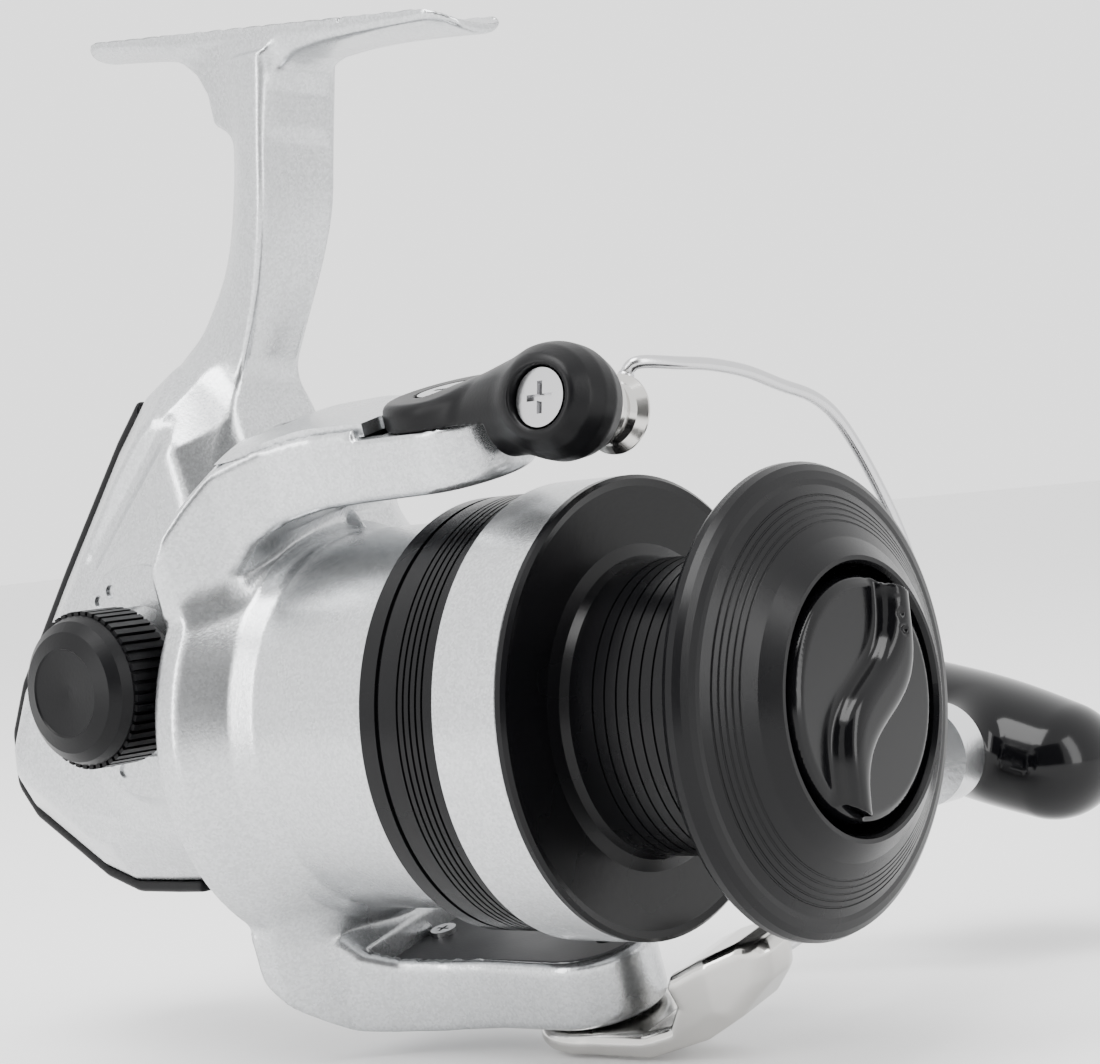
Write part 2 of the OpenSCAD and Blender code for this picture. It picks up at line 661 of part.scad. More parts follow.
module bail_lever() color([0.55, 0.54, 0.51]) base() turned() difference() {
    intersection() {
        side(-12, 12) soft(0.8) polygon([[29.2, -41.3], [29.2, -43.0], [27.5, -44.3], [8, -44.6],
            [0, -42.6], [-5.5, -39.6], [-9.4, -35.6], [-10.6, -31.6], [-9.4, -29.9], [-6.8, -29.9],
            [-1.5, -31.6], [2.6, -33.4], [3.4, -34.8], [2.6, -37.4], [4.2, -40.2], [8.6, -41.3]]);
        plan(-60, -20) offset(delta = 0.02) union() {
            translate([0, pivot_y]) circle(r = 8.8);
            polygon([[-8.7, pivot_y + 0.6], [8.7, pivot_y + 0.6], [7.6, 7], [5.8, -4], [4.4, -9], [2.6, -10.9],
                [-2.0, -10.9], [-4.6, -8.2], [-6.6, -3], [-8.2, 7]]);
        }
    }
    zcyl(2.07, -60, -30);
    zcyl(3.9, -60, -43.3);
    // window of the hook and slot beside it
    side(-4.2, 3.2) soft(0.5) polygon([[-7.6, -31.6], [0.6, -34.0], [0.9, -37.4], [-2.6, -39.2],
        [-6.4, -36.4]]);
    translate([-20, 4.6, -43.4]) cube([15, 7.5, 1.7]);
}

module bail_pivot_low() color([0.72, 0.73, 0.75]) base() turned() translate([0, pivot_y, -43.35])
    rotate([180, 0, 0]) screw(2.0, 3.7, 1.2, 8.6);

wire_path = [[8.3, -1.4, 39.9], [8.7, -2.0, 41.2], [10.0, -3.1, 41.5], [15, -4.8, 39.9],
    [20, -5.9, 38.3], [25.8, -6.9, 35.8], [31.5, -7.8, 32.4], [36.2, -8.4, 29.8], [39.6, -8.8, 26.8],
    [42.4, -9.1, 22.4], [45.2, -9.5, 15.6], [47.8, -9.8, 7.6], [48.8, -10.0, 0], [48.3, -9.9, -8],
    [46.0, -9.5, -15.6], [42.7, -9.2, -22.2], [38.8, -8.8, -27.7], [33.5, -8.0, -31.7],
    [25, -6.8, -34.0], [16, -5.9, -35.3], [9, -5.6, -35.3], [6.3, -5.6, -35.0]];

module bail_wire() color([0.78, 0.76, 0.72]) base() turned() {
    for (i = [0 : len(wire_path) - 2]) hull() {
        translate(wire_path[i]) sphere(r = wire_d / 2, $fn = 16);
        translate(wire_path[i + 1]) sphere(r = wire_d / 2, $fn = 16);
    }
    hull() {
        translate([8.3, -1.4, 39.8]) rotate([0, 113, 0]) cylinder(r = 1.1, h = 1.4, center = true, $fn = 24);
        at_roller() translate([3.2, 0, 0]) rotate([0, 90, 0]) cylinder(r = 3.0, h = 1.7, $fn = 32);
    }
}

module roller_screw() color([0.75, 0.76, 0.77]) base() turned() at_roller()
    translate([-10.95, 0, 0]) rotate([0, -90, 0]) screw(1.5, 3.6, 1.3, 14.0);

module roller_bush() color([0.85, 0.85, 0.83]) base() turned() at_roller() difference() {
    lcyl(2.6, -2.95, 3.15);
    lcyl(1.55, -10, 10);
}

module line_roller() color([0.80, 0.81, 0.83]) base() turned() at_roller() difference() {
    translate([-2.7, 0, 0]) rotate([0, 90, 0]) rotate_extrude() polygon([
        [0, 0], [4.9, 0], [roller_r, 0.3], [roller_r, 0.9], [4.1, 1.9], [3.9, 3.0], [4.1, 4.1],
        [roller_r, 5.2], [roller_r, 5.5], [0, 5.5]]);
    lcyl(2.66, -10, 10);
}

// ---- spool shaft ---------------------------------------------------------

module main_shaft() color([0.74, 0.75, 0.77]) base() difference() {
    union() {
        ycyl(shaft_r, -26.2, 84.4);
        ycyl(2.0, -26.6, -26);
    }
    ycyl(1.02, 79, 90);
    xcyl(0.82, -5, 5, 5.4, 0);
}

module slider() color([0.62, 0.63, 0.65]) base() difference() {
    union() {
        side(-3.4, 3.6) polygon([[77.2, -12.6], [85.2, -12.6], [85.2, 6.6], [77.2, 6.6]]);
        ycyl(3.0, 77.2, 85.2, rod_x, rod_z);
    }
    ycyl(2.32, 70, 84.6);
    ycyl(1.2, 70, 90);
    ycyl(1.33, 70, 90, rod_x, rod_z);
    side(2.7, 5) polygon([[79.3, -12.2], [83.1, -12.2], [83.1, 6.1], [79.3, 6.1]]);
}

module slider_screw() color([0.6, 0.6, 0.62]) base() translate([0, 85.25, 0]) rotate([-90, 0, 0])
    screw(1.0, 2.3, 1.2, 5);

module shaft_pin() color([0.7, 0.71, 0.72]) base() xcyl(0.8, -4.4, 4.4, 5.4, 0);

module click_gear() color([0.68, 0.69, 0.71]) base() difference() {
    union() {
        translate([0, 3.2, 0]) rotate([-90, 0, 0]) linear_extrude(1.2) gear2d(30, 7.4, 8.3, 7, 3);
        ycyl(4.8, 3.2, 6.6);
    }
    ycyl(2.32, 0, 10);
    xcyl(0.82, -8, 8, 5.4, 0);
}

module spool_shims() color([0.82, 0.82, 0.8]) base() {
    ytube(4.2, 2.32, 2.64, 2.84);
    ytube(4.2, 2.32, 2.9, 3.12);
}

module drag_washers_keyed() color([0.7, 0.7, 0.72]) base() for (k = [0 : 2])
    ytube(12.3, 2.32, -13.8 - 1.8 * k, -13.0 - 1.8 * k);

// ---- spool ---------------------------------------------------------------

module spool() color([0.10, 0.10, 0.11]) base() {
    spool_form();
    // post and peg of the click spring
    ycyl(1.6, -10, 2.62, 12.2, 0);
    ycyl(0.8, 2.5, 3.12, 12.2, 0);
}

module spool_form() difference() {
    yrev([[bore_r, -12], [13.2, -12], [13.2, -20.5], [16.0, -20.5], [16.0, -30.6], [16.35, -31.2],
        [16.9, -31.2], [19.2, -29.4], [22.3, -27.7], [25.6, -26.0], [26.3, -25.95], [27.3, -25.7],
        [lip_r - 0.4, -25.2], [lip_r, -24.3], [lip_r, -23.4], [lip_r - 0.5, -22.6],
        [26.6, -22.2], [20.0, -20.7], [arbor_r + 0.3, -20.0], [arbor_r, -19.2], [arbor_r, -1.4],
        [arbor_r + 0.5, -0.3], [20.4, 0.35], [27.6, 0.15], [28.5, -0.1], [flange_r, 0.35],
        [flange_r, 1.1], [28.3, 1.1], [28.3, 11.5], [skirt_r, 11.5], [skirt_r, 23.8],
        [skirt_r - 0.25, 24.1], [26.7, 24.1], [26.7, 3.6], [25.7, 2.6], [17.8, 2.6], [16.9, 1.7],
        [16.9, -8.6], [15.9, -9.6], [6.2, -9.6], [5.6, -9.0], [5.6, 2.6], [bore_r, 2.6]]);
    // grooves of the skirt, the arbor and the front cone
    ytube(40, skirt_r - 0.5, 20.6, 21.3);
    for (k = [0 : 4]) ytube(40, skirt_r - 0.35, 13.4 + k, 13.75 + k);
    for (k = [0 : 7]) ytube(26, arbor_r - 0.25, -17.4 + 1.75 * k, -17.1 + 1.75 * k);
    for (k = [0 : 4]) translate([0, -28.35 + 0.42 * k, 0]) rotate([-90, 0, 0]) rotate_extrude()
        translate([21.2 + 0.78 * k, 0]) circle(r = 0.16, $fn = 12);
    // seat of the line clip
    translate([26, 18.2, 0]) rotate([0, 90, 0]) cylinder(r = 0.8, h = 5, $fn = 32);
}

module spool_band() color([0.80, 0.81, 0.82]) base() yrev([[28.32, 1.15], [flange_r - 0.15, 1.15],
    [flange_r, 1.3], [flange_r, 11.0], [flange_r - 0.45, 11.45], [28.32, 11.45]]);

module click_spring() color([0.7, 0.7, 0.7]) base() difference() {
    union() {
        translate([8.9, 2.64, -1.6]) cube([5.6, 0.4, 3.2]);
        translate([8.75, 2.64, -0.9]) cube([0.4, 1.7, 1.8]);
    }
    ycyl(0.82, 0, 5, 12.2, 0);
}

module drag_washers_felt() color([0.35, 0.33, 0.30]) base() for (k = [0 : 2])
    ytube(12.9, 3.2, -12.95 - 1.8 * k, -12.05 - 1.8 * k);

module drag_ring() color([0.7, 0.71, 0.72]) base() difference() {
    ytube(13.15, 12.2, -18.5, -17.8);
    translate([-1.5, -20, 8]) cube([3, 4, 8]);
}

module line_clip() color([0.12, 0.12, 0.13]) base() {
    translate([26.2, 18.2, 0]) rotate([0, 90, 0]) cylinder(r = 0.78, h = 2.2, $fn = 32);
    translate([28.15, 18.2, 0]) rotate([0, 90, 0]) cylinder(r = 2.6, h = 0.6, $fn = 48);
}

// ---- drag knob -----------------------------------------------------------

// Knob with an S-shaped wing across its face.
module drag_knob() color([0.06, 0.06, 0.07]) base() difference() {
    union() {
        yrev([[3.0, -28.6], [0, -28.6], [0, -31.5], [13.4, -31.5], [14.3, -31.1], [14.7, -30.2],
            [14.7, -23.0], [14.2, -22.4], [13.0, -22.4], [13.0, -28.6], [5.4, -28.6], [5.4, -24.2],
            [3.0, -24.2]]);
        translate([0, -31.48, 0]) rotate([90, 0, 0]) rotate(-28) {
            linear_extrude(1.7) wing_2d(0);
            translate([0, 0, 1.68]) linear_extrude(0.6) wing_2d(0.6);
            translate([0, 0, 2.26]) linear_extrude(0.5) wing_2d(1.3);
        }
    }
    translate([0, -30, 0]) rotate([-90, 0, 0]) cylinder(r = 4.12, h = 10, $fn = 6);
    for (k = [-1 : 1]) ycyl(0.45, -35, -33.9, 5.0 + 0.4 * k, 9.4 - 1.9 * k);
}

module wing_2d(d) offset(r = 0.6, $fn = 24) offset(delta = -0.6 - d) polygon([
    [-3.2, -13.2], [2.6, -13.4], [5.2, -9], [5.0, -4], [3.2, 0], [3.8, 5], [3.6, 10], [3.2, 13.2],
    [-2.6, 13.4], [-5.2, 9], [-5.0, 4], [-3.2, 0], [-3.8, -5], [-3.6, -10]]);

module drag_spring() color([0.6, 0.61, 0.63]) base() for (k = [0 : 3])
    translate([0, -18.5 - 1.2 * k, 0]) rotate([-90, 0, 0]) rotate_extrude($fn = 48)
        translate([4.2, 0]) circle(r = 0.45, $fn = 16);

module drag_nut() color([0.72, 0.6, 0.36]) base() difference() {
    translate([0, -27.6, 0]) rotate([-90, 0, 0]) cylinder(r = 4.0, h = 4.6, $fn = 6);
    ycyl(bore_r, -26.7, -20);
}

body();
side_cover();
case_screws();
boss_ring();
rear_bumper();
front_plate();
plate_screws();
pinion_bearing();
pinion_bushing();
clutch_ring();
clutch_rollers();
clutch_cage();
gear_bearings();
guide_rod();
rod_plate();
drive_gear();
handle_cap();
osc_gear();
handle_hub();
fold_pin();
handle_arm();
knob_axle();
knob();
knob_cap();
rotor();
pinion();
clutch_sleeve();
rotor_nut();
nut_lock();
rotor_screws();
arm_cover();
arm_insert();
balance_weight();
bail_spring();
kick_lever();
bail_arm();
bail_pivot_top();
bail_lever();
bail_pivot_low();
bail_wire();
roller_screw();
roller_bush();
line_roller();
main_shaft();
slider();
slider_screw();
shaft_pin();
click_gear();
spool_shims();
drag_washers_keyed();
spool();
spool_band();
click_spring();
drag_washers_felt();
drag_ring();
line_clip();
drag_knob();
drag_spring();
drag_nut();
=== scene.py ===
import json
import math

import bpy
import numpy as np
from mathutils import Matrix, Vector


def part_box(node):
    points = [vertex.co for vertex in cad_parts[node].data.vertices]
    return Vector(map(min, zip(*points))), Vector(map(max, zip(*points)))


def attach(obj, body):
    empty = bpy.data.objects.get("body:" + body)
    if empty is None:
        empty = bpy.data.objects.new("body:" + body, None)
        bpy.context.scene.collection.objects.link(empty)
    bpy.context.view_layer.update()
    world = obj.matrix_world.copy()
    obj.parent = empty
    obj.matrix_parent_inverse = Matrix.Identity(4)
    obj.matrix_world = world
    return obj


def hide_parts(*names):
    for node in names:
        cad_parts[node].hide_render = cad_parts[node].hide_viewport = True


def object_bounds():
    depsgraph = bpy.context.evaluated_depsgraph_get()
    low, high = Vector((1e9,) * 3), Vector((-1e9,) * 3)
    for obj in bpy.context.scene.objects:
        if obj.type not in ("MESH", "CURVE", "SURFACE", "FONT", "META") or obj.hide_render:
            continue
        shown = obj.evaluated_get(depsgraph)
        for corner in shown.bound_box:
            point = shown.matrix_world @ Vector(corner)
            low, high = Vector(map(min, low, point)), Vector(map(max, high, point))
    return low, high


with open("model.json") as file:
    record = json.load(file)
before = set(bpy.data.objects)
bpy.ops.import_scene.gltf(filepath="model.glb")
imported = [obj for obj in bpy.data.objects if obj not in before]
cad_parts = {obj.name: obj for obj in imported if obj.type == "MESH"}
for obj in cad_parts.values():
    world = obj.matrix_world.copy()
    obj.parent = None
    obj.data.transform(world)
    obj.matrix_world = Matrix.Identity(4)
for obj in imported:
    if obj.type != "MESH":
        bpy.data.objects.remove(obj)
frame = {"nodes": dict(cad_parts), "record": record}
size_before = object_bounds()
NODES = frame["nodes"]


# ---- the frame's own places, in millimetres --------------------------------
# Fields below are written with the shaft along Y at x = z = 0 and the spool's rear face at y = 0.

def box_mm(node):
    lo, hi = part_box(node)
    return np.array(lo) * 1000.0, np.array(hi) * 1000.0


shaft_lo, shaft_hi = box_mm("main_shaft")
spool_lo, spool_hi = box_mm("spool")
ORIGIN = np.array([(shaft_lo[0] + shaft_hi[0]) / 2, spool_lo[1] + 31.2,
                   (shaft_lo[2] + shaft_hi[2]) / 2])
TURN = math.radians(13.0)
SEAT_TILT = math.radians(6.9)


# ---- distance fields -------------------------------------------------------

def smin(a, b, k):
    h = np.maximum(k - np.abs(a - b), 0.0) / k
    return np.minimum(a, b) - h * h * k * 0.25


def smax(a, b, k):
    return -smin(-a, -b, k)


def poly(u, v, pts):
    """Signed distance to a closed polygon, negative inside."""
    pts = np.asarray(pts, float)
    d = np.full(np.broadcast(u, v).shape, 1e9)
    odd = np.zeros(d.shape, bool)
    for (ax, ay), (bx, by) in zip(np.roll(pts, 1, axis=0), pts):
        ex, ey = bx - ax, by - ay
        wx, wy = u - ax, v - ay
        t = np.clip((wx * ex + wy * ey) / (ex * ex + ey * ey), 0.0, 1.0)
        d = np.minimum(d, (wx - ex * t) ** 2 + (wy - ey * t) ** 2)
        if ay != by:
            odd ^= ((v >= ay) != (v >= by)) & ((wx - ex * wy / ey) < 0)
    d = np.sqrt(d)
    return np.where(odd, -d, d)


def round_poly(u, v, pts, r):
    """Polygon with its outer corners rounded by about r."""
    return poly(u, v, inset(pts, r)) - r


def inset(pts, r):
    """Moves every edge of a polygon inwards by r."""
    pts = np.asarray(pts, float)
    nxt = np.roll(pts, -1, axis=0)
    area = np.sum(pts[:, 0] * nxt[:, 1] - pts[:, 1] * nxt[:, 0])
    s = 1.0 if area > 0 else -1.0
    e = nxt - pts
    e /= np.linalg.norm(e, axis=1)[:, None]
    n = np.c_[-e[:, 1], e[:, 0]] * s
    out = []
    for i in range(len(pts)):
        a, b = n[i - 1], n[i]
        m = a + b
        out.append(pts[i] + m * (r / max(0.25, 1 + float(a @ b))))
    return np.array(out)


def rod(x, y, z, a, b, r, r_end=None):
    """Round-ended rod from a to b, tapering to r_end."""
    a, b = np.array(a, float), np.array(b, float)
    e = b - a
    t = np.clip(((x - a[0]) * e[0] + (y - a[1]) * e[1] + (z - a[2]) * e[2]) / (e @ e), 0, 1)
    return np.sqrt((x - a[0] - e[0] * t) ** 2 + (y - a[1] - e[1] * t) ** 2
                   + (z - a[2] - e[2] * t) ** 2) - r - ((r_end or r) - r) * t


def disc(r, h0, h1, rad, along, k=0.6):
    """Cylinder of radius r between h0 and h1; rad and along are the point's radius and height."""
    return smax(rad - r, np.maximum(h0 - along, along - h1), k)


def eased(z, zs, vs, reach):
    """Values along a table, with the corners at its entries eased over the reach."""
    return sum(np.interp(z + o * reach, zs, vs) for o in (-1, -0.6, -0.25, 0, 0.25, 0.6, 1)) / 7


# ---- surface of a field ----------------------------------------------------

def skin(name, field, lo, hi, step, mat, to_row=None):
    """Mesh of the surface where field(x, y, z) crosses zero."""
    lo = np.array(lo, float) - step * np.array([0.37, 0.61, 0.43])
    big = step * 4
    n = np.ceil((np.array(hi, float) - lo) / big).astype(int)
    cen = [lo[i] + big * (np.arange(n[i]) + 0.5) for i in range(3)]
    g = np.meshgrid(*cen, indexing="ij")
    coarse = field(*g)
    near = np.argwhere(np.abs(coarse) < big * 1.3)
    val = np.repeat(np.repeat(np.repeat(coarse, 4, 0), 4, 1), 4, 2)
    val = np.pad(val, ((0, 1),) * 3, mode="edge")
    o = np.stack(np.meshgrid(*[np.arange(5)] * 3, indexing="ij"), -1).reshape(-1, 3)
    for part in np.array_split(near, max(1, len(near) // 3000)):
        idx = (part[:, None, :] * 4 + o[None]).reshape(-1, 3)
        idx = np.unique(idx, axis=0)
        p = lo + idx * step
        val[idx[:, 0], idx[:, 1], idx[:, 2]] = field(p[:, 0], p[:, 1], p[:, 2])
    s = val < 0
    cells = np.array(val.shape) - 1
    total = np.zeros((*cells, 3), np.float32)
    count = np.zeros(cells, np.float32)
    quads = []
    for ax in range(3):
        a = [slice(None)] * 3
        b = [slice(None)] * 3
        a[ax], b[ax] = slice(0, -1), slice(1, None)
        cross = np.argwhere(s[tuple(a)] != s[tuple(b)])
        e = np.eye(3, dtype=int)[ax]
        v0 = val[cross[:, 0], cross[:, 1], cross[:, 2]]
        q = cross + e
        v1 = val[q[:, 0], q[:, 1], q[:, 2]]
        pos = cross + e * (v0 / (v0 - v1))[:, None]
        u, w = (ax + 1) % 3, (ax + 2) % 3
        ring = []
        for du, dw in ((-1, -1), (0, -1), (0, 0), (-1, 0)):
            c = cross.copy()
            c[:, u] += du
            c[:, w] += dw
            ok = ((c >= 0) & (c < cells)).all(1)
            np.add.at(total, tuple(c[ok].T), pos[ok])
            np.add.at(count, tuple(c[ok].T), 1)
            ring.append(c)
        ring = np.stack(ring, 1)
        ok = ((ring >= 0) & (ring < cells)).all(axis=(1, 2))
        ring, flip = ring[ok], (v0 > 0)[ok]
        ring[flip] = ring[flip][:, ::-1]
        quads.append(ring)
    quads = np.concatenate(quads)
    used = np.argwhere(count > 0)
    number = np.full(cells, -1, int)
    number[tuple(used.T)] = np.arange(len(used))
    verts = lo + total[tuple(used.T)] / count[tuple(used.T)][:, None] * step
    faces = number[quads[..., 0], quads[..., 1], quads[..., 2]]
    normal = None
    for k in range(4):
        h = step * 0.25
        f = [field(*(verts + np.eye(3)[i] * sgn * h).T) for i in range(3) for sgn in (1, -1)]
        grad = np.stack([f[0] - f[1], f[2] - f[3], f[4] - f[5]], 1) / (2 * h)
        size = np.maximum(np.linalg.norm(grad, axis=1), 0.3)
        normal = grad / size[:, None]
        if k < 3:
            d = np.clip(field(*verts.T) / size, -0.5 * step, 0.5 * step)
            verts = verts - normal * d[:, None] * 0.9
    if to_row is not None:
        verts, normal = verts @ to_row.T, normal @ to_row.T
    verts = (verts + ORIGIN) / 1000.0
    me = bpy.data.meshes.new(name)
    me.vertices.add(len(verts))
    me.vertices.foreach_set("co", verts.astype(np.float32).ravel())
    me.loops.add(len(faces) * 4)
    me.loops.foreach_set("vertex_index", faces.astype(np.int32).ravel())
    me.polygons.add(len(faces))
    me.polygons.foreach_set("loop_start", np.arange(0, len(faces) * 4, 4, dtype=np.int32))
    me.polygons.foreach_set("loop_total", np.full(len(faces), 4, np.int32))
    me.update()
    me.validate()
    me.shade_smooth()
    ob = bpy.data.objects.new(name, me)
    bpy.context.scene.collection.objects.link(ob)
    me.materials.append(mat)
    return ob


# ---- materials -------------------------------------------------------------

def material(name, color, rough, metal=0.0, coat=0.0, bump=0.05, scale=900.0, vary=0.06,
             fleck=0.0, spun=None, coat_rough=0.1, spec=0.5):
    m = bpy.data.materials.new(name)
    m.use_nodes = True
    t = m.node_tree
    t.nodes.clear()
    out = t.nodes.new("ShaderNodeOutputMaterial")
    b = t.nodes.new("ShaderNodeBsdfPrincipled")
    t.links.new(b.outputs["BSDF"], out.inputs["Surface"])
    b.inputs["Base Color"].default_value = (*color, 1)
    b.inputs["Metallic"].default_value = metal
    b.inputs["Roughness"].default_value = rough
    b.inputs["Coat Weight"].default_value = coat
    b.inputs["Coat Roughness"].default_value = coat_rough
    b.inputs["Specular IOR Level"].default_value = spec
    co = t.nodes.new("ShaderNodeTexCoord")
    fine = t.nodes.new("ShaderNodeTexNoise")
    fine.inputs["Scale"].default_value = scale
    fine.inputs["Detail"].default_value = 3.0
    if spun:
        mp = t.nodes.new("ShaderNodeMapping")
        mp.inputs["Scale"].default_value = spun
        t.links.new(co.outputs["Object"], mp.inputs["Vector"])
        t.links.new(mp.outputs["Vector"], fine.inputs["Vector"])
    else:
        t.links.new(co.outputs["Object"], fine.inputs["Vector"])
    broad = t.nodes.new("ShaderNodeTexNoise")
    broad.inputs["Scale"].default_value = 60.0
    broad.inputs["Detail"].default_value = 4.0
    t.links.new(co.outputs["Object"], broad.inputs["Vector"])
    ramp = t.nodes.new("ShaderNodeMapRange")
    ramp.inputs["From Min"].default_value = 0.3
    ramp.inputs["From Max"].default_value = 0.7
    ramp.inputs["To Min"].default_value = max(0.02, rough - vary)
    ramp.inputs["To Max"].default_value = min(1.0, rough + vary)
    t.links.new(broad.outputs["Fac"], ramp.inputs["Value"])
    t.links.new(ramp.outputs["Result"], b.inputs["Roughness"])
    bp = t.nodes.new("ShaderNodeBump")
    bp.inputs["Strength"].default_value = bump
    bp.inputs["Distance"].default_value = 0.0002
    t.links.new(fine.outputs["Fac"], bp.inputs["Height"])
    t.links.new(bp.outputs["Normal"], b.inputs["Normal"])
    if fleck > 0:
        cell = t.nodes.new("ShaderNodeTexVoronoi")
        cell.inputs["Scale"].default_value = 3200.0
        t.links.new(co.outputs["Object"], cell.inputs["Vector"])
        sep = t.nodes.new("ShaderNodeSeparateColor")
        t.links.new(cell.outputs["Color"], sep.inputs["Color"])
        mix = t.nodes.new("ShaderNodeMix")
        mix.data_type = "RGBA"
        mix.inputs["A"].default_value = (*[c * (1 - fleck) for c in color], 1)
        mix.inputs["B"].default_value = (*[min(1, c * (1 + fleck)) for c in color], 1)
        t.links.new(sep.outputs["Red"], mix.inputs["Factor"])
        t.links.new(mix.outputs["Result"], b.inputs["Base Color"])
    return m


MAT = {
    "silver_paint": material("silver_paint", (0.53, 0.54, 0.55), 0.27, metal=0.9, coat=0.2,
                             bump=0.10, scale=2600, fleck=0.12, vary=0.03, coat_rough=0.2),
    "black_plastic": material("black_plastic", (0.0035, 0.0035, 0.004), 0.36, bump=0.08, scale=2200, spec=0.14),
    "gloss_black": material("gloss_black", (0.002, 0.002, 0.0025), 0.12, bump=0.02,
                            scale=500, vary=0.03, spec=0.22),
    "black_anodised": material("black_anodised", (0.003, 0.003, 0.0035), 0.26, bump=0.05,
                               scale=900, spun=(1, 30, 1), spec=0.17),
    "bare_aluminium": material("bare_aluminium", (0.72, 0.73, 0.74), 0.28, metal=1.0, bump=0.08,
                               scale=1500),
    "steel": material("steel", (0.56, 0.56, 0.57), 0.24, metal=1.0, bump=0.05, scale=1800),
    "nickel": material("nickel", (0.56, 0.55, 0.53), 0.16, metal=1.0, bump=0.05, scale=700,
                       vary=0.04),
    "brass": material("brass", (0.60, 0.43, 0.18), 0.28, metal=1.0, bump=0.05, scale=1500),
    "zinc": material("zinc", (0.50, 0.51, 0.52), 0.38, metal=1.0, bump=0.08, scale=1500),
    "white_plastic": material("white_plastic", (0.75, 0.75, 0.73), 0.42, bump=0.05, scale=1500),
    "felt": material("felt", (0.10, 0.09, 0.08), 0.9, bump=0.6, scale=2500),
    "dark_plastic": material("dark_plastic", (0.035, 0.035, 0.038), 0.5, bump=0.12, scale=2600),
}
RECORD_SLOT = {}
for sub in frame["record"]["subparts"]:
    key = sub.get("material") or sub.get("material_slot") or sub.get("slot")
    RECORD_SLOT[sub.get("name") or sub.get("node")] = key
for name, ob in NODES.items():
    key = RECORD_SLOT.get(name)
    if key in MAT:
        ob.data.materials.clear()
        ob.data.materials.append(MAT[key])


def stand_in(ob, body, slot, *nodes):
    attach(ob, body)
    if nodes:
        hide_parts(*nodes)
    return ob


# ---- gearbox case, stem and foot -------------------------------------------

CASE = [(57.9, -21), (57.9, 33), (60.6, 42), (66, 48.5), (72, 50), (78, 47), (84.5, 40), (98, 23),
        (110, 7), (113.2, 0), (113.2, -7), (110, -11), (96, -19.5), (90, -21.5), (82, -21.5)]
AXLE_Y, AXLE_Z = 69.9, 7.95
CASE_HW = 14.5


def case_field(x, y, z):
    out = round_poly(y, z, CASE, 2.5)
    flat = np.abs(x) - CASE_HW
    bevel = ((np.abs(x) - 7.5) * 7.5 + out * 7.0) / 10.26
    return smax(smax(out, flat, 1.0), bevel, 1.3)


STEM_Z = [36, 39, 48, 58, 63, 70, 78, 84, 90]
STEM_FRONT = [66.0, 64.8, 60.7, 56.0, 54.0, 51.9, 50.9, 50.0, 49.4]
STEM_HALF = [7.0, 6.6, 5.6, 6.0, 6.6, 7.3, 7.4, 7.5, 7.5]
STEM_REAR = [86.5, 84.0, 78.0, 69.4, 65.8, 63.4, 61.9, 61.8, 62.6]


def stem_field(x, y, z):
    f = eased(z, STEM_Z, STEM_FRONT, 3.5)
    w = eased(z, STEM_Z, STEM_HALF, 3.5)
    r = eased(z, STEM_Z, STEM_REAR, 3.5)
    ax = np.abs(x)
    hollow = 0.8 * np.clip(1 - (x / w) ** 2, 0, 1)
    a = r - 1.5 - f - 4.0
    b = 0.55 * w
    side = ax - w
    taper = ((ax - w) * a + (y - f - 4.0) * b) / np.sqrt(a * a + b * b)
    d = smax(side, taper, 2.0)
    d = smax(d, y - r, 3.0)
    d = smax(d, f + hollow - y, 1.4)
    return np.maximum(d * 0.93, np.maximum(36 - z, z - 90))


def foot_field(x, y, z):
    dy, dz = y - 52.0, z - 92.8
    c, s = math.cos(SEAT_TILT), math.sin(SEAT_TILT)
    v, w = dy * c + dz * s, -dy * s + dz * c
    half = 6.9 - 0.9 * (v + 35) / 70
    plan = [(-6.9, -35), (6.9, -35), (6.0, 35), (-6.0, 35)]
    edge = round_poly(x, v, plan, 4.4)
    belly = np.sqrt(x * x + (w - 8.7) ** 2) - 10.2
    web = round_poly(v, w, [(33, 1.4), (-31, 1.4), (-23, 0.1), (-12, -1.5), (-7, -2.6), (-4, -4.4),
                            (-2.2, -7), (-1.6, -14), (9.6, -14), (10.6, -7.4), (12.4, -4.7),
                            (15, -2.8), (19, -1.2), (25, 0.2)], 0.3)
    web = smax(web, np.abs(x) - half + 0.6 + 0.16 * np.maximum(-w, 0), 1.4)
    web = smax(web, -11.5 - w, 1.0)
    d = smin(belly, web, 3.0)
    top = 9.4 - np.sqrt(np.maximum(np.abs(x) - 1.5, 0) ** 2 + (w - 9.4) ** 2)
    return smax(smax(smax(d, edge, 0.7), top, 0.35), w - 1.7, 0.3)


def posts(x, y, z):
    d = np.full(x.shape, 1e9)
    for py, pz in ((65, 37), (98.5, 11.5), (64, -14.5), (106, -4)):
        d = np.minimum(d, np.sqrt((y - py) ** 2 + (z - pz) ** 2) - 2.4)
    return d


def shell_field(x, y, z):
    """Case with its stem, boss plates, groove and hollow, both halves together."""
    case = case_field(x, y, z)
    axle = np.sqrt((y - AXLE_Y) ** 2 + (z - AXLE_Z) ** 2)
    swell = np.maximum(axle - (15.7 + 0.75 * np.maximum(19.2 - np.abs(x), 0)), np.abs(x) - 19.2)
    d = smin(case, swell * 0.85, 3.2)
    stem = stem_field(x, y, z)
    d = smin(d, stem, 6.0)
    d = smin(d, foot_field(x, y, z), 3.2)
    for sx in (-1, 1):
        valley = rod(x, y, z, (sx * 15.4, 50.5, 60.5), (sx * 15.1, 85.5, 25.5), 2.0)
        d = smax(d, -valley, 1.6)
    low = rod(x, y, z, (-15.6, 98.5, -11.5), (-15.6, 70.0, -17.6), 1.7)
    d = smax(d, -low, 1.2)
    return d


